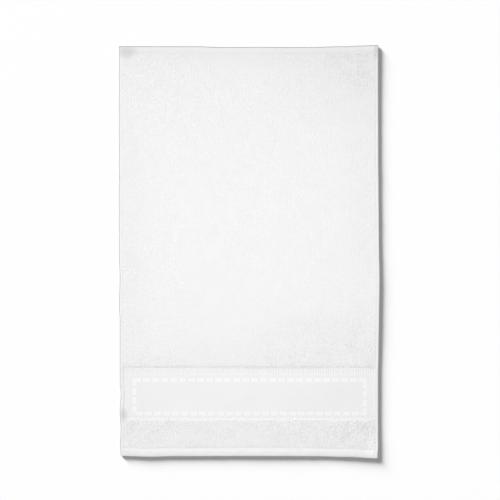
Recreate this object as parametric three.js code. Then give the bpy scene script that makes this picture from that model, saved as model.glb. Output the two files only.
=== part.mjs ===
// Sports towel of white cotton terry, nominally 30 x 50 cm, lying flat with its face up.
// It is one woven cloth: a terry field, a flat border with two ribbed strips, a short terry
// field below the border, and a hem turned over along each of its four edges.
// Millimetres, +Z up. The origin is the middle of the towel on the surface that it lies on.
// +Y runs towards the plain end, -Y towards the end with the border.
import * as THREE from "three";

const { clamp, lerp } = THREE.MathUtils;

// Driving dimensions of the cloth
const WIDTH = 308;
const LENGTH = 488.8;
const SIDE_HEM = 3.7;
const TOP_HEM = 8;
const BOTTOM_HEM = 10.2;
const LOWER_TERRY = 33.4;

// The border's parts, as long as each is along the towel, from the bordered end upwards
const LOWER_RIDGE = 1.5;
const LOWER_RIBS = 3.5;
const BAND = 47.6;
const UPPER_RIDGE = 2.2;
const UPPER_RIBS = 5.8;
const UPPER_GROOVE = 1.8;
const RIBS_ACROSS = 100;

// Thickness of each part of the cloth, over the surface
const PILE = 4.1;
const HEM = 3.4;
const SEAM = 2.4;
const BAND_CLOTH = 2.3;
const RIDGE = 2.7;
const RIB_VALLEY = 1.9;
const RIB_CREST = 2.7;
const GROOVE = 1.7;

// The folded edge is half round, with a short upright part at its middle
const FOLD_ROUND = 1.5;
const FOLD_MIDDLE = 1.6;
const FOLD_UPRIGHT = 0.4;

// How far the cloth takes to fall into a seam, to rise out of it, and to end its pile
const SEAM_FALL = 1.2;
const PILE_RISE = 3.2;
const PILE_END = 1.4;

// How far each edge stands outside the straight one, where `at` runs along that edge
const LEFT_EDGE = [
  { at: -244, out: -1.0 },
  { at: -230, out: -0.1 },
  { at: -211, out: -1.0 },
  { at: -190, out: 0.2 },
  { at: -168, out: -1.0 },
  { at: -156, out: 0.2 },
  { at: -82, out: 0.2 },
  { at: -63, out: 1.0 },
  { at: -31, out: 0.2 },
  { at: -5, out: 1.0 },
  { at: 244, out: 1.0 },
];
const RIGHT_EDGE = [
  { at: -244, out: -1.0 },
  { at: -228, out: -0.2 },
  { at: -146, out: -0.2 },
  { at: -122, out: 0.3 },
  { at: -80, out: 0.9 },
  { at: -37, out: 1.5 },
  { at: 20, out: 0.8 },
  { at: 80, out: 0.3 },
  { at: 112, out: 0 },
  { at: 244, out: -0.2 },
];
const BOTTOM_EDGE = [
  { at: -153, out: -0.5 },
  { at: -120, out: 0.5 },
  { at: -91, out: -0.1 },
  { at: -13, out: -0.3 },
  { at: 80, out: -0.1 },
  { at: 116, out: 0.7 },
  { at: 153, out: 2.2 },
];
const TOP_EDGE = [
  { at: -153, out: 0.5 },
  { at: -58, out: 0.5 },
  { at: -38, out: -0.4 },
  { at: 73, out: -0.4 },
  { at: 108, out: 0.5 },
  { at: 153, out: 1.9 },
];
// An edge's unevenness is lost this far inside the cloth
const EDGE_FADE = 45;

// Places where the whole cloth stands off the surface
const LIFTS = [
  { x: -157, y: 248, wide: 62, long: 58, rise: 1.2 },
  { x: 157, y: 250, wide: 46, long: 70, rise: 0.5 },
  { x: 158, y: -250, wide: 56, long: 52, rise: 0.7 },
  { x: -157, y: -196, wide: 26, long: 34, rise: 0.8 },
  { x: 158, y: -60, wide: 24, long: 90, rise: 0.4 },
];
// Places where only the face swells or sinks
const SWELLS = [
  { x: -40, y: 40, wide: 150, long: 230, rise: 0.5 },
  { x: 118, y: 190, wide: 60, long: 80, rise: -0.4 },
  { x: -132, y: -112, wide: 34, long: 44, rise: -0.45 },
  { x: 40, y: -120, wide: 120, long: 34, rise: -0.3 },
  { x: 96, y: -216, wide: 60, long: 26, rise: -0.35 },
];

// Largest steps of the face and of the underside
const FACE_STEP = 16;
const UNDER_STEP = 40;

const smooth = (t) => t * t * (3 - 2 * t);

// A table's column at a place between its rows
function along(table, at, column) {
  const next = table.findIndex((row) => row.at > at);
  if (next === 0) return table[0][column];
  if (next < 0) return table[table.length - 1][column];
  const low = table[next - 1];
  const high = table[next];
  return lerp(low[column], high[column], smooth((at - low.at) / (high.at - low.at)));
}

// The sum of round hills at a place, each of which ends at its own width and length
function hills(table, x, y) {
  let height = 0;
  for (const hill of table) {
    const far = ((x - hill.x) / hill.wide) ** 2 + ((y - hill.y) / hill.long) ** 2;
    if (far < 1) height += hill.rise * (1 - far) ** 2;
  }
  return height;
}

// Where the cloth's parts meet, along the towel
const bottomEnd = -LENGTH / 2;
const topEnd = LENGTH / 2;
const lowerTerryEnd = bottomEnd + BOTTOM_HEM + LOWER_TERRY;
const lowerRibs = lowerTerryEnd + LOWER_RIDGE;
const band = lowerRibs + LOWER_RIBS;
const upperRidge = band + BAND;
const upperRibs = upperRidge + UPPER_RIDGE;
const upperGroove = upperRibs + UPPER_RIBS;
const upperTerry = upperGroove + UPPER_GROOVE;

// Thickness of the cloth inside its hems, along the towel. `ribbed` marks a strip's two rows.
const RIB_END = 0.6;
const FIELD = [
  { at: bottomEnd, thick: PILE },
  { at: lowerTerryEnd - PILE_END, thick: PILE },
  { at: lowerTerryEnd, thick: RIDGE },
  { at: lowerRibs - RIB_END, thick: RIDGE },
  { at: lowerRibs, thick: RIB_VALLEY },
  { at: lowerRibs + RIB_END, thick: RIB_VALLEY, ribbed: true },
  { at: band - RIB_END, thick: RIB_VALLEY, ribbed: true },
  { at: band, thick: RIB_VALLEY },
  { at: band + RIB_END, thick: BAND_CLOTH },
  { at: upperRidge - RIB_END, thick: BAND_CLOTH },
  { at: upperRidge + RIB_END, thick: RIDGE },
  { at: upperRibs - RIB_END, thick: RIDGE },
  { at: upperRibs, thick: RIB_VALLEY },
  { at: upperRibs + RIB_END, thick: RIB_VALLEY, ribbed: true },
  { at: upperGroove - RIB_END, thick: RIB_VALLEY, ribbed: true },
  { at: upperGroove, thick: GROOVE },
  { at: upperTerry - PILE_END / 2, thick: GROOVE },
  { at: upperTerry + PILE_END / 2, thick: PILE },
  { at: topEnd, thick: PILE },
];

// The face's height across a hem, at a distance from the folded edge
function hemHeight(inside, hemWidth) {
  if (inside < FOLD_ROUND) {
    const round = Math.sqrt(1 - (1 - inside / FOLD_ROUND) ** 2);
    return lerp(FOLD_MIDDLE + FOLD_UPRIGHT / 2, HEM, round);
  }
  if (inside <= hemWidth) {
    return lerp(SEAM, HEM, smooth(clamp((hemWidth - inside) / SEAM_FALL, 0, 1)));
  }
  return lerp(SEAM, PILE, smooth(clamp((inside - hemWidth) / PILE_RISE, 0, 1)));
}

// The underside's height, which the folded edge alone takes off the surface
function underHeight(inside) {
  if (inside >= FOLD_ROUND) return 0;
  const round = Math.sqrt(1 - (1 - inside / FOLD_ROUND) ** 2);
  return lerp(FOLD_MIDDLE - FOLD_UPRIGHT / 2, 0, round);
}

// A place on the cloth as it lies, from its place on the straight cloth
function lying(x, y, height) {
  const inLeft = 1 - smooth(clamp((x + WIDTH / 2) / EDGE_FADE, 0, 1));
  const inRight = 1 - smooth(clamp((WIDTH / 2 - x) / EDGE_FADE, 0, 1));
  const inBottom = 1 - smooth(clamp((y - bottomEnd) / EDGE_FADE, 0, 1));
  const inTop = 1 - smooth(clamp((topEnd - y) / EDGE_FADE, 0, 1));
  return new THREE.Vector3(
    x - inLeft * along(LEFT_EDGE, y, "out") + inRight * along(RIGHT_EDGE, y, "out"),
    y - inBottom * along(BOTTOM_EDGE, x, "out") + inTop * along(TOP_EDGE, x, "out"),
    height + hills(LIFTS, x, y),
  );
}

// The face's height at a place on the straight cloth. A crest is the top of a rib.
function faceHeight(x, y, crest) {
  const fromSide = WIDTH / 2 - Math.abs(x);
  const fromEnd = LENGTH / 2 - Math.abs(y);
  const endHem = y > 0 ? TOP_HEM : BOTTOM_HEM;
  const hemmed = Math.min(hemHeight(fromSide, SIDE_HEM), hemHeight(fromEnd, endHem));
  const inHem = fromSide <= SIDE_HEM || fromEnd <= endHem;
  if (inHem) return hemmed;
  const field = crest ? RIB_CREST : along(FIELD, y, "thick");
  const swell = hills(SWELLS, x, y) * clamp((fromSide - SIDE_HEM) / PILE_RISE, 0, 1);
  return Math.min(hemmed, field) + swell;
}

// Stations between two ends, no further apart than a step, with both ends
function evenly(start, end, step) {
  const count = Math.ceil((end - start) / step);
  return Array.from({ length: count + 1 }, (_, i) => lerp(start, end, i / count));
}

// Distances from a folded edge where the face and the underside change direction
const roundStations = [0, 0.15, 0.5, 1].map((share) => share * FOLD_ROUND);
const hemStations = (hemWidth) => [
  ...roundStations,
  hemWidth - SEAM_FALL,
  hemWidth,
  hemWidth + PILE_RISE / 2,
  hemWidth + PILE_RISE,
];

// Stations across the towel: those of both edges, and what lies between them
function across(edgeStations, between) {
  return [
    ...edgeStations.map((inside) => inside - WIDTH / 2),
    ...between,
    ...edgeStations.map((inside) => WIDTH / 2 - inside).reverse(),
  ];
}
const sideStations = hemStations(SIDE_HEM);
const sideReach = WIDTH / 2 - sideStations[sideStations.length - 1];
const faceColumns = across(sideStations, evenly(-sideReach, sideReach, FACE_STEP).slice(1, -1));
const underReach = WIDTH / 2 - FOLD_ROUND;
const underColumns = across(
  roundStations,
  evenly(-underReach, underReach, UNDER_STEP).slice(1, -1),
);

// A ribbed row has a valley and a crest for each rib between the side seams
const ribReach = WIDTH / 2 - SIDE_HEM - PILE_RISE / 2;
const ribEdges = sideStations.slice(0, -1);
const ribbedColumns = across(
  ribEdges,
  evenly(-ribReach, ribReach, ribReach / RIBS_ACROSS).slice(1, -1),
);

// Rows along the towel: both hems, every change of the field, and even steps between those
function rowsAlong() {
  const bottomRows = hemStations(BOTTOM_HEM).map((inside) => bottomEnd + inside);
  const topRows = hemStations(TOP_HEM).map((inside) => topEnd - inside).reverse();
  const fieldStart = bottomRows.at(-1);
  const fieldEnd = topRows[0];
  const changes = FIELD.filter((row) => row.at > fieldStart && row.at < fieldEnd);
  const stops = [{ at: fieldStart }, ...changes, { at: fieldEnd }];
  const field = stops.slice(1).flatMap((stop, i) => {
    const steps = evenly(stops[i].at, stop.at, FACE_STEP).slice(1, -1);
    return [...steps.map((at) => ({ at })), stop];
  });
  return [
    ...bottomRows.map((at) => ({ at })),
    ...field,
    ...topRows.slice(1).map((at) => ({ at })),
  ];
}

// The cloth as one closed surface, whose rows may hold different numbers of points
function towelGeometry() {
  const points = [];
  const faces = [];
  const add = (point) => points.push(point) - 1;

  // Triangles between two rows of points, facing up where the second row lies further along +Y
  function fill(near, far, facesDown) {
    let i = 0;
    let j = 0;
    const triangle = (a, b, c) => faces.push(...(facesDown ? [a, c, b] : [a, b, c]));
    while (i < near.length - 1 || j < far.length - 1) {
      const farDone = j === far.length - 1;
      const nearLeft = i < near.length - 1;
      if (farDone || (nearLeft && points[near[i + 1]].x <= points[far[j + 1]].x)) {
        triangle(near[i], near[i + 1], far[j]);
        i += 1;
      } else {
        triangle(near[i], far[j + 1], far[j]);
        j += 1;
      }
    }
  }

  const rows = rowsAlong().map(({ at, ribbed }) => {
    const columns = ribbed ? ribbedColumns : faceColumns;
    const firstRib = ribEdges.length;
    const face = columns.map((x, i) => {
      const betweenSeams = i >= firstRib && i < columns.length - firstRib;
      const crest = ribbed && betweenSeams && (i - firstRib) % 2 === 0;
      return add(lying(x, at, faceHeight(x, at, crest)));
    });
    const under = underColumns.map((x) => {
      const inside = Math.min(WIDTH / 2 - Math.abs(x), LENGTH / 2 - Math.abs(at));
      return add(lying(x, at, underHeight(inside)));
    });
    return { face, under };
  });

  rows.slice(1).forEach((row, i) => {
    const before = rows[i];
    fill(before.face, row.face, false);
    fill(before.under, row.under, true);
    const [leftFace, leftUnder] = [row.face[0], row.under[0]];
    faces.push(before.face[0], leftFace, before.under[0]);
    faces.push(leftFace, leftUnder, before.under[0]);
    const [rightFace, rightUnder] = [row.face.at(-1), row.under.at(-1)];
    faces.push(before.face.at(-1), before.under.at(-1), rightFace);
    faces.push(rightFace, before.under.at(-1), rightUnder);
  });
  fill(rows[0].under, rows[0].face, false);
  fill(rows.at(-1).face, rows.at(-1).under, false);

  const geometry = new THREE.BufferGeometry().setFromPoints(points);
  geometry.setIndex(faces);
  // The outline is uneven, so the origin goes to the middle of the towel as it came out
  geometry.computeBoundingBox();
  const middle = geometry.boundingBox.getCenter(new THREE.Vector3());
  geometry.translate(-middle.x, -middle.y, 0);
  geometry.computeVertexNormals();
  return geometry;
}

// White cotton: matt, and a little greyer than paper
const whiteCotton = new THREE.MeshStandardMaterial({
  color: 0xf1f1ef,
  roughness: 0.95,
  metalness: 0,
});

const cloth = new THREE.Mesh(towelGeometry(), whiteCotton);
cloth.name = "towel_cloth";

const towel = new THREE.Group();
towel.add(cloth);

export default towel;
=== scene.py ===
import math

import bpy
import numpy as np
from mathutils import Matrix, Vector


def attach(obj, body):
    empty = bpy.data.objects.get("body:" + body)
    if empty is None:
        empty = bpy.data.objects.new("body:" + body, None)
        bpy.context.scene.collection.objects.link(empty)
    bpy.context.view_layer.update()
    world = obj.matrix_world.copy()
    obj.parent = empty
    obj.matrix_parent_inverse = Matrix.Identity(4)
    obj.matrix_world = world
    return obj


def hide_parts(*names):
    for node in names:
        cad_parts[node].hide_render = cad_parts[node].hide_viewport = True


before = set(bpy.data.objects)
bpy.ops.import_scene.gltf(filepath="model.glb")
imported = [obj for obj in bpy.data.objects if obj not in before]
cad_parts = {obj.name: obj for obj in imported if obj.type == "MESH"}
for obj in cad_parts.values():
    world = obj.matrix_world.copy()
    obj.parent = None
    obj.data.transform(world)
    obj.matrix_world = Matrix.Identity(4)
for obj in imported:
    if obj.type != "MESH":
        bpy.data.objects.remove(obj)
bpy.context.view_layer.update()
MM = 0.001


# The camera
# It looks straight down on the towel, from far enough away that its four edges show no sides.
# The picture is square, and one of its 500 pixels covers 1.19 mm of the towel.
PIXEL_MM = 1.19
PICTURE_PIXELS = 500
TOWEL_MIDDLE_PIXEL = (249.4, 251.75)
LENS_MM = 85
SENSOR_MM = 36
FACE_MM = 4

camera_data = bpy.data.cameras.new("camera_above")
camera_data.lens = LENS_MM
camera_data.sensor_width = SENSOR_MM
camera = bpy.data.objects.new("camera_above", camera_data)
bpy.context.collection.objects.link(camera)
bpy.context.scene.camera = camera
camera_mm = PIXEL_MM * PICTURE_PIXELS / SENSOR_MM * LENS_MM + FACE_MM
camera.location = (
    (PICTURE_PIXELS / 2 - TOWEL_MIDDLE_PIXEL[0]) * PIXEL_MM * MM,
    (TOWEL_MIDDLE_PIXEL[1] - PICTURE_PIXELS / 2) * PIXEL_MM * MM,
    camera_mm * MM,
)


# The cloth
# One length of white cotton, woven with terry at both ends and a flat border between, and
# turned over and sewn down along its four edges. This piece holds the ground weave, the hems,
# the border and the bed that the pile stands in. Sizes are in millimetres.
WIDTH = 308
LENGTH = 488.3
SIDE_HEM = 3.7
TOP_HEM = 8.2
BOTTOM_HEM = 10.2
LOWER_TERRY = 33.65
LOWER_RIDGE = 1.0
LOWER_RIBS = 3.5
BAND = 47.6
UPPER_RIDGE = 2.2
UPPER_RIBS = 5.8
UPPER_GROOVE = 1.8
RIBS_ACROSS = 100

# Heights of the face over the surface that the towel lies on
PILE_BED = 3.2
HEM = 2.9
SEAM = 3.1
LEFT_SEAM = 3.35
TOP_SEAM = 2.75
BAND_CLOTH = 2.4
RIDGE = 2.5
RIB_VALLEY = 1.8
RIB_CREST = 2.65
GROOVE_FLOOR = 1.8
GROOVE_LIP = 2.35

# The hems: how high they bulge for their width, and how their folds and seams are rounded
HEM_DOME_SHARE = 0.085
LEFT_DOME_SHARE = 0.03
FOLD_ROUND = 1.1
FOLD_MIDDLE = 1.5
FOLD_UPRIGHT = 0.2
SEAM_FALL = 0.8
PILE_RISE = 1.5
PAST_SEAM = 2
PAST_SEAM_RUN = 3

# Where the cloth's parts meet, along the towel
bottom_end = -LENGTH / 2
top_end = LENGTH / 2
lower_terry_end = bottom_end + BOTTOM_HEM + LOWER_TERRY
lower_ribs = lower_terry_end + LOWER_RIDGE
band = lower_ribs + LOWER_RIBS
upper_ridge = band + BAND
upper_ribs = upper_ridge + UPPER_RIDGE
upper_groove = upper_ribs + UPPER_RIBS
upper_terry = upper_groove + UPPER_GROOVE

# How far each edge stands outside the straight one, at places along that edge
LEFT_EDGE = dict(
    at=[-244, -230, -211, -190, -168, -156, -82, -63, -31, -5, 244],
    out=[-1.0, -0.1, -1.0, 0.2, -1.0, 0.2, 0.2, 1.0, 0.2, 1.0, 1.0],
)
RIGHT_EDGE = dict(
    at=[-244, -228, -146, -122, -80, -37, 20, 80, 112, 244],
    out=[-1.0, -0.2, -0.2, 0.3, 0.9, 1.5, 0.8, 0.3, 0, -0.2],
)
BOTTOM_EDGE = dict(
    at=[-153, -120, -91, -13, 80, 116, 153],
    out=[-0.5, 0.5, -0.1, -0.3, -0.1, 0.7, 2.2],
)
TOP_EDGE = dict(
    at=[-153, -58, -38, 73, 108, 153],
    out=[0.5, 0.5, -0.4, -0.4, 0.5, 1.9],
)
EDGE_FADE = 45
# Places where the whole cloth stands off the surface: x, y, half width, half length, rise
LIFTS = [
    (-157, 248, 62, 58, 1.2),
    (157, 250, 46, 70, 0.5),
    (158, -250, 56, 52, 0.7),
    (-157, -196, 26, 34, 0.8),
    (158, -60, 24, 90, 0.4),
]


def smooth(share):
    share = np.clip(share, 0, 1)
    return share * share * (3 - 2 * share)


def along(edge, at):
    """How far an edge stands out at places along it, with a smooth run between its rows."""
    rows, out = np.array(edge["at"]), np.array(edge["out"])
    low = np.clip(np.searchsorted(rows, at, side="right") - 1, 0, len(rows) - 2)
    share = smooth((at - rows[low]) / (rows[low + 1] - rows[low]))
    return out[low] + share * (out[low + 1] - out[low])


def lying(x, y, height):
    """Points of the cloth as it lies, from their places on the straight cloth."""
    near_left = 1 - smooth((x + WIDTH / 2) / EDGE_FADE)
    near_right = 1 - smooth((WIDTH / 2 - x) / EDGE_FADE)
    near_bottom = 1 - smooth((y - bottom_end) / EDGE_FADE)
    near_top = 1 - smooth((top_end - y) / EDGE_FADE)
    across = x - near_left * along(LEFT_EDGE, y) + near_right * along(RIGHT_EDGE, y)
    up = y - near_bottom * along(BOTTOM_EDGE, x) + near_top * along(TOP_EDGE, x)
    lift = 0
    for hill_x, hill_y, wide, long, rise in LIFTS:
        far = ((x - hill_x) / wide) ** 2 + ((y - hill_y) / long) ** 2
        lift = lift + rise * np.clip(1 - far, 0, None) ** 2
    return np.stack([across, up, height + lift], axis=-1) * MM


# The random hills go on past the cloth's edges
SPARE_HILLS = 8
FIRST_HILL = 3


def unevenness(x, y, size, seed):
    """Soft random hills of about the given size, between -1 and 1, the same in every run."""
    columns = int(WIDTH / size) + SPARE_HILLS
    rows = int(LENGTH / size) + SPARE_HILLS
    heights = np.random.default_rng(seed).uniform(-1, 1, (columns, rows))
    column = (x + WIDTH / 2) / size + FIRST_HILL
    row = (y + LENGTH / 2) / size + FIRST_HILL
    i, j = column.astype(int), row.astype(int)
    s, t = smooth(column - i), smooth(row - j)
    left = heights[i, j] * (1 - t) + heights[i, j + 1] * t
    right = heights[i + 1, j] * (1 - t) + heights[i + 1, j + 1] * t
    return left * (1 - s) + right * s


# Heights of the cloth between its side hems, along the towel. The bed of the pile falls away
# a little towards the border, and a step between two parts takes the length of BORDER_STEP.
BORDER_STEP = 0.5
RIDGE_FALL = 2.4
BED_END = 0.4
BED_END_FALL = 0.35
BED_START = 1.7
BED_START_FALL = 0.2
PILE_TAPER = 6
FIELD_PROFILE = [
    (bottom_end, PILE_BED),
    (lower_terry_end - BED_END, PILE_BED - BED_END_FALL),
    (lower_terry_end + BORDER_STEP, RIDGE),
    (lower_ribs - BORDER_STEP, RIDGE),
    (lower_ribs + BORDER_STEP, RIB_VALLEY),
    (band - BORDER_STEP, RIB_VALLEY),
    (band + BORDER_STEP, BAND_CLOTH),
    (upper_ridge - RIDGE_FALL, BAND_CLOTH),
    (upper_ridge + BORDER_STEP, RIDGE),
    (upper_ribs - BORDER_STEP, RIDGE),
    (upper_ribs + BORDER_STEP, RIB_VALLEY),
    (upper_groove - BORDER_STEP, RIB_VALLEY),
    (upper_groove + BORDER_STEP, GROOVE_FLOOR),
    (upper_terry - BORDER_STEP, GROOVE_FLOOR),
    (upper_terry + BORDER_STEP, GROOVE_LIP),
    (upper_terry + BED_START, PILE_BED - BED_START_FALL),
    (upper_terry + PILE_TAPER, PILE_BED),
    (top_end, PILE_BED),
]


def fold_share(inside):
    """0 at the tip of a fold and 1 where its quarter round ends."""
    return np.sqrt(np.clip(1 - (1 - inside / FOLD_ROUND) ** 2, 0, 1))


def hem_height(inside, hem_width, seam, dome_share):
    """The face's height across a hem and its seam, at a distance from the folded edge."""
    share = np.clip(inside / hem_width, 0, 1)
    domed = HEM + dome_share * hem_width * 4 * share * (1 - share)
    rounding = np.where(inside < FOLD_ROUND, fold_share(inside), 1)
    rounded = FOLD_MIDDLE + (domed - FOLD_MIDDLE) * rounding
    seam_side = smooth((hem_width - inside) / SEAM_FALL)
    pile_side = smooth((inside - hem_width) / PILE_RISE)
    sewn = seam + (rounded - seam) * seam_side
    return np.where(inside <= hem_width, sewn, seam + (PILE_BED - seam) * pile_side)


def strip_share(y, start, end):
    """1 within a strip across the border and 0 outside it."""
    step = 2 * BORDER_STEP
    return smooth((y - start) / step + 0.5) * smooth((end - y) / step + 0.5)


def hills(x, y, table):
    """Soft random hills of several sizes: each line has their size, their height and a seed."""
    return sum(unevenness(x, y, size, seed) * height for size, height, seed in table)


# The hems pucker where the thread draws them in, and the border waves a little
HEM_PUCKERS = [(4.5, 0.22, 11), (14, 0.2, 12)]
PUCKER_START = 2
BORDER_WAVES = [(34, 0.28, 21), (11, 0.06, 22)]
WAVE_START = 2


def face_height(x, y):
    """The face's height on the straight cloth, without the pile."""
    from_side = WIDTH / 2 - np.abs(x)
    from_end = LENGTH / 2 - np.abs(y)
    end_hem = np.where(y > 0, TOP_HEM, BOTTOM_HEM)
    in_hem = (from_side <= SIDE_HEM) | (from_end <= end_hem)
    side_seam = np.where(x < 0, LEFT_SEAM, SEAM)
    side_dome = np.where(x < 0, LEFT_DOME_SHARE, HEM_DOME_SHARE)
    end_seam = np.where(y > 0, TOP_SEAM, SEAM)
    sides = hem_height(from_side, SIDE_HEM, side_seam, side_dome)
    ends = hem_height(from_end, end_hem, end_seam, HEM_DOME_SHARE)
    # Past its own seam, a hem leaves the height to the other hem or to the field
    hemmed = np.minimum(
        sides + PAST_SEAM * smooth((from_side - SIDE_HEM) / PAST_SEAM_RUN),
        ends + PAST_SEAM * smooth((from_end - end_hem) / PAST_SEAM_RUN),
    )
    tight = smooth(np.minimum(from_side, from_end) / PUCKER_START)
    hemmed = hemmed + np.where(in_hem, hills(x, y, HEM_PUCKERS) * tight, 0)

    places, heights = zip(*FIELD_PROFILE)
    field = np.interp(y, places, heights)
    rib_share = (x / (WIDTH / 2 - SIDE_HEM - PILE_RISE) + 1) / 2 * RIBS_ACROSS % 1
    rib = (RIB_CREST - RIB_VALLEY) * np.sqrt(1 - (2 * rib_share - 1) ** 2)
    in_strip = strip_share(y, lower_ribs, band) + strip_share(y, upper_ribs, upper_terry)
    field = field + rib * in_strip
    in_border = smooth((y - lower_terry_end) / WAVE_START)
    in_border = in_border * smooth((upper_terry - y) / WAVE_START)
    field = field + hills(x, y, BORDER_WAVES) * in_border
    return np.where(in_hem, hemmed, np.minimum(hemmed, field))


def under_height(x, y):
    """The underside's height: it lies on the surface but for the rounding of the folds."""
    inside = np.minimum(WIDTH / 2 - np.abs(x), LENGTH / 2 - np.abs(y))
    rounded = (FOLD_MIDDLE - FOLD_UPRIGHT) * (1 - fold_share(inside))
    return np.where(inside < FOLD_ROUND, rounded, 0)


# Stations are close together at the folded edges and the seams, where the cloth bends
FOLD_STATIONS = [0, 0.05, 0.18, 0.4, 0.7, FOLD_ROUND]
SEAM_STATIONS = [-0.5, -0.2, 0.2, 0.6, 1.1, PILE_RISE]
# Steps are a hair longer than asked for, so that an exact number of them isn't rounded up
A_HAIR_OVER = 1.0001


def evenly(start, end, step):
    return np.linspace(start, end, max(2, math.ceil((end - start) / step) + 1))


def hem_stations(hem_width, step):
    """Stations from a folded edge inwards, across the hem and past its seam."""
    flat = evenly(FOLD_ROUND, hem_width - SEAM_FALL, step)[1:]
    return np.array([*FOLD_STATIONS, *flat, *[hem_width + place for place in SEAM_STATIONS]])


def stations(edge, step):
    """Stations from the left edge to the right one, with even steps between the hems."""
    half = WIDTH / 2
    inner = evenly(edge[-1] - half, half - edge[-1], step * A_HAIR_OVER)[1:-1]
    return np.concatenate([edge - half, inner, half - edge[::-1]])


# The columns of points are close in the ribs, wider in the hems, and widest under the pile
HEM_STEP = 0.9
POINTS_ACROSS_RIB = 4
FLAT_STEP = 2
UNDER_PILE_STEP = 5
UNDERSIDE_STEP = 10
rib_pitch = (WIDTH - 2 * SIDE_HEM - 2 * PILE_RISE) / RIBS_ACROSS
side_stations = hem_stations(SIDE_HEM, HEM_STEP)
rib_columns = stations(side_stations, rib_pitch / POINTS_ACROSS_RIB)
flat_columns = stations(side_stations, FLAT_STEP)
terry_columns = stations(side_stations, UNDER_PILE_STEP)
under_columns = stations(np.array(FOLD_STATIONS), UNDERSIDE_STEP)

# So are the rows of points, with the closest ones where the cloth steps up or down
TERRY_STEP = 2.2
BAND_STEP = 1.6
BEND_STEP = 0.35
BEND_LONGEST = 1.1
bottom_rows = bottom_end + hem_stations(BOTTOM_HEM, HEM_STEP)
top_rows = top_end - hem_stations(TOP_HEM, HEM_STEP)[::-1]
border_changes = [place for place, _ in FIELD_PROFILE[1:-1]]
lower_rows = evenly(bottom_rows[-1], border_changes[0], TERRY_STEP)[1:]
upper_rows = evenly(border_changes[-1], top_rows[0], TERRY_STEP)[1:]
rows = [(y, flat_columns) for y in bottom_rows]
rows += [(y, terry_columns) for y in lower_rows[:-1]]
rows += [(lower_rows[-1], rib_columns)]
for start, end in zip(border_changes, border_changes[1:]):
    step = BEND_STEP if end - start < BEND_LONGEST else BAND_STEP
    within = evenly(start, end, step)[1:]
    in_band = end == upper_ridge - RIDGE_FALL
    rows += [(y, flat_columns if in_band else rib_columns) for y in within[:-1]]
    rows += [(end, rib_columns)]
rows += [(y, terry_columns) for y in upper_rows[:-1]]
rows += [(y, flat_columns) for y in top_rows]


def strip_between(near, far, near_x, far_x):
    """Faces between two rows of points, which may hold different numbers of them."""
    if len(near) == len(far):
        return np.stack([near[:-1], near[1:], far[1:], far[:-1]], axis=1)
    triangles = []
    i = j = 0
    while i < len(near) - 1 or j < len(far) - 1:
        more_near = i < len(near) - 1
        if j == len(far) - 1 or (more_near and near_x[i + 1] <= far_x[j + 1]):
            triangles.append((near[i], near[i + 1], far[j]))
            i += 1
        else:
            triangles.append((near[i], far[j + 1], far[j]))
            j += 1
    return np.array(triangles)


def cotton_mesh(name, points, faces):
    """A smooth mesh from points and from arrays of faces, each array with its own corners."""
    mesh = bpy.data.meshes.new(name)
    faces = [face.astype(np.int32) for face in faces]
    corners = np.concatenate([face.ravel() for face in faces])
    sizes = np.concatenate([np.full(len(face), face.shape[1]) for face in faces])
    mesh.vertices.add(len(points))
    mesh.vertices.foreach_set("co", points.astype(np.float32).ravel())
    mesh.loops.add(len(corners))
    mesh.loops.foreach_set("vertex_index", corners)
    mesh.polygons.add(len(sizes))
    mesh.polygons.foreach_set("loop_start", np.concatenate([[0], np.cumsum(sizes)[:-1]]))
    mesh.update(calc_edges=True)
    mesh.shade_smooth()
    piece = bpy.data.objects.new(name, mesh)
    bpy.context.collection.objects.link(piece)
    return piece


points = []
faces = []
count = 0
before = None
for y, columns in rows:
    numbers = []
    for across, height in ((columns, face_height), (under_columns, under_height)):
        row_y = np.full(len(across), y)
        points.append(lying(across, row_y, height(across, row_y)))
        numbers.append(count + np.arange(len(across)))
        count += len(across)
    face, under = numbers
    if before is None:
        faces.append(strip_between(under, face, under_columns, columns))
    else:
        last_face, last_under, last_columns = before
        left = [last_face[0], face[0], under[0], last_under[0]]
        right = [last_face[-1], last_under[-1], under[-1], face[-1]]
        faces.append(strip_between(last_face, face, last_columns, columns))
        faces.append(strip_between(last_under, under, under_columns, under_columns)[:, ::-1])
        faces.append(np.array([left, right]))
    before = (face, under, columns)
faces.append(strip_between(face, under, columns, under_columns))

points = np.concatenate(points)
# The uneven outline has its middle at the origin, as the solid has
low, high = points.min(axis=0), points.max(axis=0)
to_middle = np.array([-(low[0] + high[0]) / 2, -(low[1] + high[1]) / 2, 0])
towel = cotton_mesh("towel_ground", points + to_middle, faces)


class Amount:
    """A number that changes over a surface. An operator on it adds a Math node."""

    def __init__(self, finish, socket):
        self.finish = finish
        self.socket = socket

    def maths(self, operation, *values):
        sockets = dict(enumerate([self, *values]))
        return self.finish.node("ShaderNodeMath", {"operation": operation}, sockets)

    def __add__(self, other):
        return self.maths("ADD", other)

    __radd__ = __add__

    def __mul__(self, other):
        return self.maths("MULTIPLY", other)

    __rmul__ = __mul__

    def __sub__(self, other):
        return self.maths("SUBTRACT", other)

    def __rsub__(self, other):
        return (self * -1) + other

    def __truediv__(self, other):
        return self.maths("DIVIDE", other)

    def __rtruediv__(self, other):
        return self.maths("POWER", -1) * other

    def __lt__(self, other):
        return self.maths("LESS_THAN", other)

    def __gt__(self, other):
        return self.maths("GREATER_THAN", other)


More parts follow.
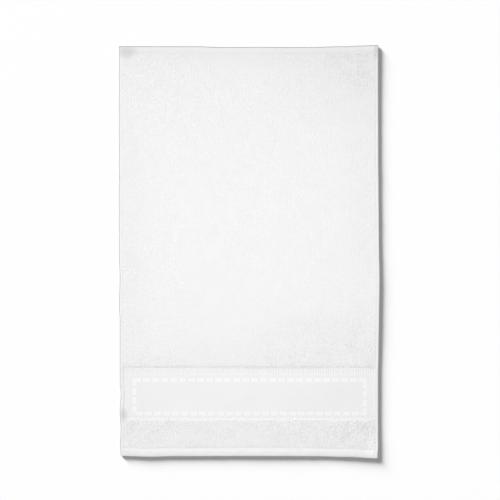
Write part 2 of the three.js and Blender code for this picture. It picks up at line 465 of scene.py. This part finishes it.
class Finish:
    """A material around one Principled shader. Plain numbers go on the shader's sockets."""

    def __init__(self, name, plain):
        self.material = bpy.data.materials.new(name)
        self.material.use_nodes = True
        self.nodes = self.material.node_tree.nodes
        self.shader = self.nodes["Principled BSDF"]
        self.fill(self.shader, plain)

    def node(self, kind, settings, sockets, output=0):
        """Adds one node, with its settings first and then its sockets' values or links."""
        node = self.nodes.new(kind)
        for setting, value in settings.items():
            setattr(node, setting, value)
        self.fill(node, sockets)
        return Amount(self, node.outputs[output])

    def fill(self, node, sockets):
        for socket, value in sockets.items():
            if isinstance(value, Amount):
                self.material.node_tree.links.new(node.inputs[socket], value.socket)
            else:
                node.inputs[socket].default_value = value

    def place(self):
        """A point's place on the towel, in metres from its middle, and its x and its y."""
        spot = self.node("ShaderNodeTexCoord", {}, {}, output="Object")
        x, y = (self.node("ShaderNodeSeparateXYZ", {}, {0: spot}, output=i) for i in range(2))
        return spot, x, y

    def blotches(self, spot, size_mm, detail=2.0):
        """Soft random cloudiness of about the given size, from 0 to 1."""
        sockets = {"Vector": spot, "Scale": 1 / (size_mm * MM), "Detail": detail}
        return self.node("ShaderNodeTexNoise", {}, sockets)

    def blend(self, share, one, other):
        """One colour where the share is 0 and the other where it is 1."""
        colours = {0: share, 6: one, 7: other}
        return self.node("ShaderNodeMix", {"data_type": "RGBA"}, colours, output=2)

    def clouded(self, spot, size_mm, shade, white):
        """Cotton's colour, in soft clouds of about the given size between two whites."""
        return self.blend(self.blotches(spot, size_mm), shade, white)

    def relief(self, height, depth_mm):
        """Shades the surface as if a height of 1 stood out by the given depth."""
        bump = self.node("ShaderNodeBump", {}, {"Height": height, "Distance": depth_mm * MM})
        self.fill(self.shader, {"Normal": bump})


def grey(value):
    return (value, value, value, 1)


# Painted shade and painted light: places painted greyer where the cloth tilts or dips away from
# the light and where the light falls off, and whiter where a corner tilts towards it: middle,
# half sizes, share, grey
PAINTED_SHADE_AND_LIGHT = [
    dict(x=-146, y=239, wide=14, long=10, share=0.5, grey=0.6),
    dict(x=-150, y=-194, wide=6, long=10, share=0.5, grey=0.6),
    dict(x=-154, y=-40, wide=40, long=240, share=0.06, grey=0.6),
    dict(x=112, y=225, wide=100, long=90, share=0.07, grey=0.6),
    dict(x=0, y=246, wide=400, long=30, share=0.09, grey=0.6),
    dict(x=151.5, y=239, wide=4, long=10, share=0.5, grey=0.6),
    dict(x=100, y=-172, wide=90, long=28, share=0.03, grey=0.6),
    dict(x=147, y=-233, wide=12, long=17, share=0.9, grey=0.98),
]


def with_painted_shade_and_light(finish, cotton, x, y):
    """A cotton's colour with the painted shade and painted light of the places above in it."""
    for place in PAINTED_SHADE_AND_LIGHT:
        beside = (x / MM - place["x"]) / place["wide"]
        above = (y / MM - place["y"]) / place["long"]
        share = (1 - (beside * beside + above * above)).maths("MAXIMUM", 0) * place["share"]
        cotton = finish.blend(share, cotton, grey(place["grey"]))
    return cotton


# Flat woven cotton of the hems and the border, with a plain weave and a few thicker threads
WOVEN_WHITE = grey(0.92)
WOVEN_SHADE = grey(0.895)
WOVEN_CLOUD_MM = 24
WOVEN_ROUGHNESS = 0.85
THREAD_MM = 0.62
SLUB_MM = 1.2
WEAVE_SHARE = 0.5
SLUB_SHARE = 0.6
WEAVE_DEPTH = 0.12
woven = Finish(
    "woven_white_cotton",
    {
        "Roughness": WOVEN_ROUGHNESS,
        "Sheen Weight": 0.15,
        "Sheen Roughness": 0.5,
        "Specular IOR Level": 0.3,
    },
)
spot, x, y = woven.place()
warp = (x * (math.pi / (THREAD_MM * MM))).maths("SINE")
weft = (y * (math.pi / (THREAD_MM * MM))).maths("SINE")
slubs = woven.blotches(spot, SLUB_MM)
woven.relief(warp * weft * WEAVE_SHARE + slubs * SLUB_SHARE, WEAVE_DEPTH)
cotton = woven.clouded(spot, WOVEN_CLOUD_MM, WOVEN_SHADE, WOVEN_WHITE)
cotton = with_painted_shade_and_light(woven, cotton, x, y)

# Dashes run round the border in a frame, whiter and smoother than the weave round them. Each
# row or column of them is one line in the table: where its first dash starts, where it ends,
# how long its dashes are, and their pitch.
DASH_WHITE = grey(0.965)
DASH_SMOOTHER = 0.2
DASH_WIDE = 4.4
DASH_ROUND = 0.8
GAP_HALF = 1.6
GAP_SHADE = grey(0.88)
FRAME_LEFT = -139.0
FRAME_RIGHT = 139.7
FRAME_TOP = -150.4
FRAME_BOTTOM = -195.0
TOP_ROW = FRAME_TOP - DASH_WIDE / 2
BOTTOM_ROW = FRAME_BOTTOM + DASH_WIDE / 2
LEFT_COLUMN = FRAME_LEFT + DASH_WIDE / 2
RIGHT_COLUMN = FRAME_RIGHT - DASH_WIDE / 2
DASHES = [
    dict(run="x", middle=TOP_ROW, start=FRAME_LEFT, end=-128, long=9.7, pitch=20),
    dict(run="x", middle=TOP_ROW, start=-126.8, end=FRAME_RIGHT, long=8.8, pitch=10.71),
    dict(run="x", middle=BOTTOM_ROW, start=-135.3, end=FRAME_RIGHT, long=8.8, pitch=10.71),
    dict(run="y", middle=LEFT_COLUMN, start=-191.4, end=-160.4, long=8.1, pitch=10.55),
    dict(run="y", middle=LEFT_COLUMN, start=-159.3, end=FRAME_TOP, long=20, pitch=20),
    dict(run="y", middle=RIGHT_COLUMN, start=FRAME_BOTTOM, end=-154, long=8.3, pitch=10.7),
]


def dash_row(at, across, row):
    """1 on the dashes of one row or column, with rounded ends, and 1 on the row with its gaps."""
    share = ((at / MM - row["start"]) / row["pitch"]).maths("FRACT")
    from_middle = (share * row["pitch"] - row["long"] / 2).maths("ABSOLUTE")
    beside = (across / MM - row["middle"]).maths("ABSOLUTE")
    past = (from_middle - (row["long"] / 2 - DASH_ROUND)).maths("MAXIMUM", 0)
    over = (beside - (DASH_WIDE / 2 - DASH_ROUND)).maths("MAXIMUM", 0)
    within = (at / MM > row["start"]) * (at / MM < row["end"])
    return (past * past + over * over < DASH_ROUND**2) * within, (beside < GAP_HALF) * within


dashed = in_row = 0
for row in DASHES:
    along_row, across_row = (x, y) if row["run"] == "x" else (y, x)
    on_dash, on_row = dash_row(along_row, across_row, row)
    dashed = on_dash + dashed
    in_row = on_row + in_row
dashed = dashed.maths("MINIMUM", 1)
gap = (in_row - dashed).maths("MAXIMUM", 0).maths("MINIMUM", 1)
cotton = woven.blend(gap, cotton, GAP_SHADE)
woven.fill(
    woven.shader,
    {
        "Base Color": woven.blend(dashed, cotton, DASH_WHITE),
        "Roughness": WOVEN_ROUGHNESS - dashed * DASH_SMOOTHER,
    },
)

# Cotton of the bed between the loops, rough with the feet of the loops
LOOP_WHITE = grey(0.93)
LOOP_SHADE = grey(0.91)
LOOP_CLOUD_MM = 18
LOOP_FOOT_MM = 1.4
LOOP_FOOT_DEPTH = 0.9
SOFT_COTTON = {
    "Roughness": 0.95,
    "Sheen Weight": 0.2,
    "Sheen Roughness": 0.5,
    "Specular IOR Level": 0.2,
}
bed = Finish("pile_bed_cotton", SOFT_COTTON)
spot, x, y = bed.place()
bed.relief(bed.blotches(spot, LOOP_FOOT_MM, detail=3), LOOP_FOOT_DEPTH)
cotton = bed.clouded(spot, LOOP_CLOUD_MM, LOOP_SHADE, LOOP_WHITE)
bed.fill(bed.shader, {"Base Color": with_painted_shade_and_light(bed, cotton, x, y)})

# Painted shade: the outermost threads of the left and the top fold are painted dark grey,
# standing in for the shade of the hem's rounding
FOLD_PAINTED_SHADE_PALE = grey(0.45)
FOLD_PAINTED_SHADE_DARK = grey(0.37)
FOLD_PAINTED_SHADE_CLOUD_MM = 5
LEFT_PAINTED_FOLD_SHADE_MM = 0.8
TOP_PAINTED_FOLD_SHADE_MM = 1.05
fold = Finish("painted_fold_shade", {"Roughness": 0.9, "Specular IOR Level": 0.2})
spot, x, y = fold.place()
fold.relief(fold.blotches(spot, size_mm=0.8), depth_mm=0.1)
cotton = fold.clouded(spot, FOLD_PAINTED_SHADE_CLOUD_MM, FOLD_PAINTED_SHADE_DARK, FOLD_PAINTED_SHADE_PALE)
fold.fill(fold.shader, {"Base Color": cotton})

# The bed starts just inside the seams and ends under the last loops before the border. The
# underside has the bed's cotton too.
BED_INSET = 0.3
BORDER_UNDER_PILE = 0.7
UNDERSIDE_TOP = 0.4
centres = np.empty(3 * len(towel.data.polygons), dtype=np.float32)
towel.data.polygons.foreach_get("center", centres)
centres = centres.reshape(-1, 3) / MM
inside_hems = (
    (WIDTH / 2 - np.abs(centres[:, 0]) > SIDE_HEM + BED_INSET)
    & (centres[:, 1] > bottom_end + BOTTOM_HEM + BED_INSET)
    & (centres[:, 1] < top_end - TOP_HEM - BED_INSET)
)
past_lower_pile = centres[:, 1] > lower_terry_end - BORDER_UNDER_PILE
in_border = past_lower_pile & (centres[:, 1] < upper_terry)
on_bed = (inside_hems & ~in_border) | (centres[:, 2] < UNDERSIDE_TOP)
across, up = (centres - to_middle / MM)[:, :2].T
from_left = across + WIDTH / 2 + along(LEFT_EDGE, up)
from_top = top_end - up + along(TOP_EDGE, across)
# The painted fold shade lies on the outermost threads of the left and the top edges only
on_painted_fold_shade = (from_left < LEFT_PAINTED_FOLD_SHADE_MM) | (from_top < TOP_PAINTED_FOLD_SHADE_MM)

finishes = np.zeros(len(centres), dtype=np.int32)
finishes[on_bed] = 1
finishes[on_painted_fold_shade] = 2
for finish in (woven, bed, fold):
    towel.data.materials.append(finish.material)
towel.data.polygons.foreach_set("material_index", finishes)
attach(towel, "root")
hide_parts("towel_cloth")


# The pile
# Loops of soft cotton yarn, woven into the ground in rows across the towel. They stand close
# together, and where the towel has been ruffled they rise and lean in slanting clumps.
LOOP_PITCH = 1.72
LOOP_HALF_WIDTH = 0.85
LOOP_BELLY = 0.5
LOOP_ARCH = 2.4
LOOP_HEIGHT = 0.8
PRESSED = 0.2
LOOP_LEAN = 0.36
LOOP_SUNK = 0.4
YARN_RADIUS = 0.52
YARN_TAPER = [0.85, 1.0, 1.0, 0.85]
# Where the loops stand: their distance from the side seams, and the two fields' first and
# last rows along the towel. The upper field is made in four pieces.
PILE_FROM_SIDE_SEAM = 0.9
LOWER_FIELD = (bottom_end + BOTTOM_HEM + 1.1, lower_terry_end - 1.2)
UPPER_FIELD = (upper_terry + 0.7, top_end - TOP_HEM - 1.6)
UPPER_PIECES = 4
# Beside the side seams the loops are pressed lower
SIDE_LOW = 0.75
SIDE_RUN = 4

# How much the loops differ from each other by chance
PLACE_CHANCE = 0.3
LEAN_TURN_CHANCE = 0.7
FOOT_TURN_CHANCE = 0.35
HEIGHT_CHANCE = 0.06
YARN_CHANCE = 0.06
YARN_LIMITS = (0.8, 1.2)

# Places where the pile is ruffled, and not pressed flat: middle, half sizes and share
RUFFLED_LEAST = 0.08
RUFFLED = [
    dict(x=120, y=-150, wide=170, long=110, share=1.15),
    dict(x=-60, y=-160, wide=130, long=70, share=0.8),
    dict(x=140, y=235, wide=60, long=50, share=1.1),
    dict(x=0, y=236, wide=400, long=70, share=0.2),
    dict(x=-140, y=205, wide=90, long=90, share=-0.12),
    dict(x=-130, y=40, wide=90, long=170, share=-0.15),
    dict(x=160, y=80, wide=60, long=230, share=0.5),
    dict(x=0, y=-222, wide=1000, long=36, share=0.7),
    dict(x=150, y=-222, wide=50, long=36, share=0.8),
]
# The clumps of a ruffled place: how far their loops lean and turn, and how high they rise
SLANT_SQUEEZE = 0.35
LEAN_TURN = 4
LEAN_LEVEL = 0.8
LEAN_CHANGE = 0.3
LEAN_CLUMP_MM = 6
CLUMP_RISE = 0.17
SWELL_RISE = 0.08
SWELL_MM = 12


def slanting(x, y, stretch, size, seed):
    """Random hills that are drawn out from the lower left to the upper right."""
    return unevenness((x - y) * SLANT_SQUEEZE, (x + y) * stretch, size, seed)


def yarn(name, lines, radii, across, sides, roll=0.25):
    """Closed lengths of yarn along many centre lines at once, each square to one direction.

    The roll turns the corners of the yarn's section, as a share of a full turn.
    """
    ahead = np.gradient(lines, axis=1)
    ahead /= np.linalg.norm(ahead, axis=2, keepdims=True)
    beside = np.cross(ahead, across[:, None, :])
    beside /= np.linalg.norm(beside, axis=2, keepdims=True)
    beyond = np.cross(beside, ahead)
    turn = 2 * math.pi * (np.arange(sides)[:, None] / sides - roll)
    ring = np.cos(turn) * beyond[:, :, None] + np.sin(turn) * beside[:, :, None]
    surface = lines[:, :, None] + radii[:, :, None, None] * ring * MM

    number, steps = lines.shape[:2]
    first = np.arange(number)[:, None] * steps * sides
    side = np.arange(sides)
    step = np.arange(steps - 1)[:, None] * sides
    here = first[:, :, None] + step + side
    there = first[:, :, None] + step + (side + 1) % sides
    walls = np.stack([here, there, there + sides, here + sides], axis=-1).reshape(-1, 4)
    start_caps = first + side[::-1]
    end_caps = first + (steps - 1) * sides + side
    return cotton_mesh(name, surface.reshape(-1, 3), [walls, start_caps, end_caps])


def terry(name, rows, seed):
    """The loops in rows at places along the towel, in the columns of the warp."""
    chance = np.random.default_rng(seed)
    reach = WIDTH / 2 - SIDE_HEM - PILE_FROM_SIDE_SEAM
    y, x = np.meshgrid(rows, evenly(-reach, reach, LOOP_PITCH))
    y[1::2] += LOOP_PITCH / 2
    x, y = x.ravel(), y.ravel()
    x = np.clip(x + chance.normal(0, PLACE_CHANCE, x.shape), -reach, reach)
    y = y + chance.normal(0, PLACE_CHANCE, y.shape)

    # Loops that lie near each other lean alike
    ruffled = RUFFLED_LEAST
    for place in RUFFLED:
        beside, above = (x - place["x"]) / place["wide"], (y - place["y"]) / place["long"]
        ruffled = ruffled + place["share"] * smooth(1 - beside**2 - above**2)
    lean_turn = slanting(x, y, stretch=0.17, size=1.7, seed=31) * LEAN_TURN
    lean_turn += chance.normal(0, LEAN_TURN_CHANCE, x.shape)
    lean = LOOP_LEAN * np.maximum(ruffled, 0)
    lean *= LEAN_LEVEL + LEAN_CHANGE * unevenness(x, y, LEAN_CLUMP_MM, seed=33)
    foot_turn = math.pi / 2 + chance.normal(0, FOOT_TURN_CHANCE, x.shape)
    clump = slanting(x, y, stretch=0.15, size=1.2, seed=34) * CLUMP_RISE
    clump += unevenness(x, y, SWELL_MM, seed=35) * SWELL_RISE
    height = LOOP_HEIGHT - PRESSED * (1 - np.minimum(ruffled, 1))
    height += (clump + chance.normal(0, HEIGHT_CHANCE, x.shape)) * np.maximum(ruffled, 0)
    from_side_seam = WIDTH / 2 - SIDE_HEM - np.abs(x)
    height *= SIDE_LOW + (1 - SIDE_LOW) * smooth(from_side_seam / SIDE_RUN)

    # Each loop is an arch from foot to foot, and its top leans over
    share = np.linspace(-1, 1, len(YARN_TAPER))[None, :]
    along_foot = LOOP_HALF_WIDTH * share * (1 + LOOP_BELLY * (1 - share**2))
    arch = 1 - np.abs(share) ** LOOP_ARCH
    foot_x, foot_y = np.cos(foot_turn), np.sin(foot_turn)
    lean_x, lean_y = lean * np.cos(lean_turn), lean * np.sin(lean_turn)
    foot_height = face_height(x, y) - LOOP_SUNK
    rise = height + LOOP_SUNK - YARN_RADIUS
    line_x = x[:, None] + along_foot * foot_x[:, None] + lean_x[:, None] * arch
    line_y = y[:, None] + along_foot * foot_y[:, None] + lean_y[:, None] * arch
    line_z = foot_height[:, None] + rise[:, None] * arch
    lines = lying(line_x, line_y, line_z) + to_middle
    foot = np.stack([foot_x, foot_y, 0 * x], axis=-1)
    up = np.stack([lean_x, lean_y, height], axis=-1)
    thick = YARN_RADIUS * (1 + YARN_CHANCE * chance.normal(0, 1, x.shape)).clip(*YARN_LIMITS)
    radii = thick[:, None] * np.array(YARN_TAPER)[None, :]
    return yarn(name, lines, radii, np.cross(foot, up), sides=3)


def map_from_above(piece):
    """Gives a piece a flat map of itself, as it is seen from above."""
    mesh = piece.data
    spots = np.empty(3 * len(mesh.vertices), dtype=np.float32)
    mesh.vertices.foreach_get("co", spots)
    spots = spots.reshape(-1, 3)[:, :2]
    spots = (spots - spots.min(axis=0)) / np.ptp(spots, axis=0)
    corners = np.empty(len(mesh.loops), dtype=np.int32)
    mesh.loops.foreach_get("vertex_index", corners)
    mesh.uv_layers.new(name="OFBake").data.foreach_set("uv", spots[corners].ravel())


loop = Finish("looped_white_cotton", SOFT_COTTON)
spot, x, y = loop.place()
cotton = loop.clouded(spot, LOOP_CLOUD_MM, LOOP_SHADE, LOOP_WHITE)
loop.fill(loop.shader, {"Base Color": with_painted_shade_and_light(loop, cotton, x, y)})

pile = [terry("lower_pile", evenly(*LOWER_FIELD, LOOP_PITCH), seed=41)]
upper_loops = np.array_split(evenly(*UPPER_FIELD, LOOP_PITCH), UPPER_PIECES)
for number, loop_rows in enumerate(upper_loops):
    pile.append(terry(f"upper_pile_{number + 1}", loop_rows, seed=42 + number))
for piece in pile:
    map_from_above(piece)
    piece.data.materials.append(loop.material)
    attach(piece, "root")


# The sewing
# Lock stitches of white cotton thread in the seam of each hem, about 3 mm long. Each one is
# a short length of thread that dips into the cloth at both of its ends.
STITCH_PITCH = 3.2
STITCH_LONG = 2.7
FIRST_STITCH = 0.3
STITCH_BOW = 0.22
STITCH_DIP = 0.12
THREAD_RADIUS = 0.2
THREAD_TAPER = [0.7, 1, 1, 1, 0.7]
THREAD_CLOUD_MM = 6
TWIST_MM = 0.5
SEAM_END = 1.5
# The thread lies on its flat in two of the seams and stands on edge in the other two
ON_FLAT = 0.125
ON_EDGE = 0.25


def stitches(name, start, end, roll):
    """A row of stitches along a straight seam, given as two places on the straight cloth."""
    start, end = np.array(start, dtype=float), np.array(end, dtype=float)
    length = np.linalg.norm(end - start)
    ahead = (end - start) / length
    firsts = np.arange(int(length / STITCH_PITCH)) * STITCH_PITCH + FIRST_STITCH
    share = np.linspace(0, 1, len(THREAD_TAPER))
    run = firsts[:, None] + STITCH_LONG * share[None, :]
    x = start[0] + ahead[0] * run
    y = start[1] + ahead[1] * run
    bow = STITCH_BOW * np.sin(math.pi * share)[None, :] - STITCH_DIP
    lines = lying(x, y, face_height(x, y) + bow) + to_middle
    across = np.tile([-ahead[1], ahead[0], 0.0], (len(firsts), 1))
    radii = np.tile(THREAD_RADIUS * np.array(THREAD_TAPER), (len(firsts), 1))
    return yarn(name, lines, radii, across, sides=4, roll=roll)


thread = Finish(
    "sewing_thread",
    {"Roughness": 0.6, "Specular IOR Level": 0.4, "Sheen Weight": 0.1},
)
spot, x, y = thread.place()
twist = ((x + y) * (2 * math.pi / (TWIST_MM * MM))).maths("SINE")
thread.relief(twist, depth_mm=0.05)
cotton = thread.clouded(spot, THREAD_CLOUD_MM, WOVEN_SHADE, WOVEN_WHITE)
thread.fill(thread.shader, {"Base Color": cotton})

side_end = WIDTH / 2 - SEAM_END
side_seam = WIDTH / 2 - SIDE_HEM
low_end, high_end = bottom_end + SEAM_END, top_end - SEAM_END
bottom_seam = bottom_end + BOTTOM_HEM
top_seam = top_end - TOP_HEM
SEAMS = {
    "left_seam": [(-side_seam, low_end), (-side_seam, high_end), ON_FLAT],
    "right_seam": [(side_seam, low_end), (side_seam, high_end), ON_EDGE],
    "bottom_seam": [(-side_end, bottom_seam), (side_end, bottom_seam), ON_EDGE],
    "top_seam": [(-side_end, top_seam), (side_end, top_seam), ON_FLAT],
}
sewing = [stitches(name, *seam) for name, seam in SEAMS.items()]
for piece in sewing:
    map_from_above(piece)
    piece.data.materials.append(thread.material)
    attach(piece, "root")


# The floor
# A plain pale surface, larger than the camera sees. It is a hair below the towel, so that the
# two surfaces don't coincide.
FLOOR_HALF = 4
FLOOR_DROP = 0.05
FLOOR_PALE = grey(0.93)
FLOOR_CORNERS = [(-1, -1), (1, -1), (1, 1), (-1, 1)]
floor_mesh = bpy.data.meshes.new("floor")
corners = [(x * FLOOR_HALF, y * FLOOR_HALF, -FLOOR_DROP * MM) for x, y in FLOOR_CORNERS]
floor_mesh.from_pydata(corners, [], [(0, 1, 2, 3)])
floor = bpy.data.objects.new("floor", floor_mesh)
bpy.context.collection.objects.link(floor)
paper = Finish("pale_paper", {"Roughness": 0.9, "Base Color": FLOOR_PALE})
floor.data.materials.append(paper.material)


# The light
# Even white light fills the room. A soft panel over the towel and a high glow from the upper
# left light the towel alone, and a low window at the upper left lights the floor alone, so
# that the shadow lies along the towel's right and bottom edges.
ROOM_LIGHT = 0.30
WINDOW_TURN = math.radians(132)
WINDOW_LIGHT = 8.66
WINDOW_RISE = math.radians(16)
WINDOW_ACROSS = math.radians(20)
GLOW_LIGHT = 1.0
GLOW_RISE = math.radians(40)
GLOW_ACROSS = math.radians(60)
PANEL_LIGHT = 4.74
PANEL_AT = (-0.045, 0.03, 0.92)
PANEL_ACROSS = 0.5

room = bpy.data.worlds.new("room")
bpy.context.scene.world = room
room.use_nodes = True
background = room.node_tree.nodes["Background"]
background.inputs["Color"].default_value = grey(1)
background.inputs["Strength"].default_value = ROOM_LIGHT


def lamp(name, kind, energy, towards, at=(0, 0, 1), **sizes):
    """A lamp at a place, which shines along a direction."""
    data = bpy.data.lights.new(name, kind)
    data.energy = energy
    for setting, value in sizes.items():
        setattr(data, setting, value)
    holder = bpy.data.objects.new(name, data)
    bpy.context.collection.objects.link(holder)
    holder.location = at
    holder.rotation_euler = Vector(towards).to_track_quat("-Z", "Y").to_euler()
    return holder


def light_floor(holder, state):
    """Lights the floor alone, or all but the floor."""
    receivers = bpy.data.collections.new(holder.name + "_floor")
    receivers.objects.link(floor)
    holder.light_linking.receiver_collection = receivers
    receivers.collection_objects[0].light_linking.link_state = state


def from_window(rise):
    """The direction of light from the window's side, from a height given as an angle."""
    return (
        -math.cos(WINDOW_TURN) * math.cos(rise),
        -math.sin(WINDOW_TURN) * math.cos(rise),
        -math.sin(rise),
    )


window = lamp("window", "SUN", WINDOW_LIGHT, from_window(WINDOW_RISE), angle=WINDOW_ACROSS)
glow = lamp("window_glow", "SUN", GLOW_LIGHT, from_window(GLOW_RISE), angle=GLOW_ACROSS)
panel = lamp(
    "panel", "AREA", PANEL_LIGHT, (0, 0, -1), at=PANEL_AT, shape="DISK", size=PANEL_ACROSS
)
light_floor(window, "INCLUDE")
light_floor(glow, "EXCLUDE")
light_floor(panel, "EXCLUDE")

bpy.context.scene.view_settings.view_transform = "Standard"
